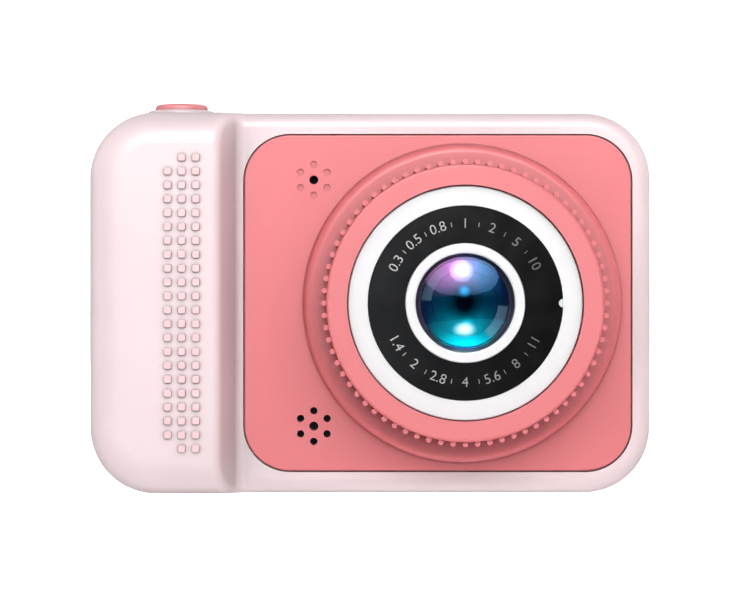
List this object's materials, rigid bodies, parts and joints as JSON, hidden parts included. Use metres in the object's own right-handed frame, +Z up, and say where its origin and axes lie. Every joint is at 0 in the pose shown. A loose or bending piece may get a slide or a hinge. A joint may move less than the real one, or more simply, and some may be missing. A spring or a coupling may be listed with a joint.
{
  "type": "digital camera for children",
  "caption": "Compact toy-style digital camera with a rounded casing, side grip, ribbed turning lens ring, top shutter button, rear screen and keys.",
  "frame": {"origin": "on the surface that the camera stands on, under the centre of its bounding box", "axes": "+X to the right seen from the front, -Y towards the subject, +Z up"},
  "size_m": [0.0932, 0.042, 0.0652],
  "materials": {
    "shell": "satin moulded plastic, very pale pink",
    "coral": "satin moulded plastic, coral",
    "stud": "soft matte plastic, pale pink",
    "white": "glossy white plastic",
    "black_plastic": "matte black plastic",
    "gloss_black": "glossy black printed disc",
    "lens_glass": "coated glass",
    "window": "clear acrylic printed black behind",
    "steel": "plain steel pin",
    "screw": "dark plated steel",
    "board": "green solder mask",
    "chip": "black epoxy",
    "flex": "amber polyimide",
    "switch": "black switch housing",
    "display": "display module",
    "socket_metal": "formed sheet metal",
    "card": "black moulded card",
    "battery_foil": "foil pouch",
    "boot_rubber": "soft black rubber",
    "lead_black": "insulated wire",
    "lead_red": "insulated wire"
  },
  "bodies": {
    "camera_body": {"battery": "battery_foil", "battery_lead_black": "lead_black", "battery_lead_red": "lead_red", "board_screws": "screw", "camera_module": "black_plastic", "case_screws": "screw", "faceplate": "coral", "front_shell": "shell", "grip_studs": "stud", "key_board": "board", "key_board_screws": "screw", "key_switches": "switch", "lcd_flex": "flex", "lcd_panel": "display", "lens_base": "coral", "lens_bezel": "white", "lens_disc": "gloss_black", "lens_dome": "lens_glass", "lens_holder": "black_plastic", "lens_screws": "screw", "lens_trim_ring": "white", "lens_tube": "black_plastic", "main_board": "board", "memory_chip": "chip", "microphone": "black_plastic", "microphone_boot": "boot_rubber", "module_lens": "lens_glass", "processor": "chip", "rear_shell": "shell", "screen_window": "window", "sd_socket": "socket_metal", "sensor_board": "board", "sensor_flex": "flex", "shutter_board": "board", "shutter_collar": "shell", "shutter_switch": "switch", "speaker": "black_plastic", "speaker_leads": "lead_black", "strap_bar": "steel", "usb_port": "socket_metal"},
    "lens_ring": {"lens_ring": "coral"},
    "shutter_button": {"shutter_button": "coral"},
    "sd_card": {"sd_card": "card"},
    "up_key": {"up_key": "coral"},
    "down_key": {"down_key": "coral"},
    "left_key": {"left_key": "coral"},
    "right_key": {"right_key": "coral"},
    "ok_key": {"ok_key": "coral"},
    "power_key": {"power_key": "coral"},
    "menu_key": {"menu_key": "coral"},
    "play_key": {"play_key": "coral"}
  },
  "joints": [
    {"name": "lens_ring_turn", "type": "hinge", "parent": "camera_body", "child": "lens_ring", "pos_m": [0.0152, -0.016, 0.0317], "axis": [0, -1, 0], "continuous": true},
    {"name": "shutter_press", "type": "slide", "parent": "camera_body", "child": "shutter_button", "axis": [0, 0, -1], "range_m": [0, 0.0007], "stiffness_N_per_m": 400},
    {"name": "up_press", "type": "slide", "parent": "camera_body", "child": "up_key", "axis": [0, -1, 0], "range_m": [0, 0.0006], "stiffness_N_per_m": 400},
    {"name": "down_press", "type": "slide", "parent": "camera_body", "child": "down_key", "axis": [0, -1, 0], "range_m": [0, 0.0006], "stiffness_N_per_m": 400},
    {"name": "left_press", "type": "slide", "parent": "camera_body", "child": "left_key", "axis": [0, -1, 0], "range_m": [0, 0.0006], "stiffness_N_per_m": 400},
    {"name": "right_press", "type": "slide", "parent": "camera_body", "child": "right_key", "axis": [0, -1, 0], "range_m": [0, 0.0006], "stiffness_N_per_m": 400},
    {"name": "ok_press", "type": "slide", "parent": "camera_body", "child": "ok_key", "axis": [0, -1, 0], "range_m": [0, 0.0006], "stiffness_N_per_m": 400},
    {"name": "power_press", "type": "slide", "parent": "camera_body", "child": "power_key", "axis": [0, -1, 0], "range_m": [0, 0.0006], "stiffness_N_per_m": 400},
    {"name": "menu_press", "type": "slide", "parent": "camera_body", "child": "menu_key", "axis": [0, -1, 0], "range_m": [0, 0.0006], "stiffness_N_per_m": 400},
    {"name": "play_press", "type": "slide", "parent": "camera_body", "child": "play_key", "axis": [0, -1, 0], "range_m": [0, 0.0006], "stiffness_N_per_m": 400},
    {"name": "card_slide", "type": "slide", "parent": "camera_body", "child": "sd_card", "axis": [1, 0, 0], "range_m": [-0.0006, 0.018]}
  ]
}
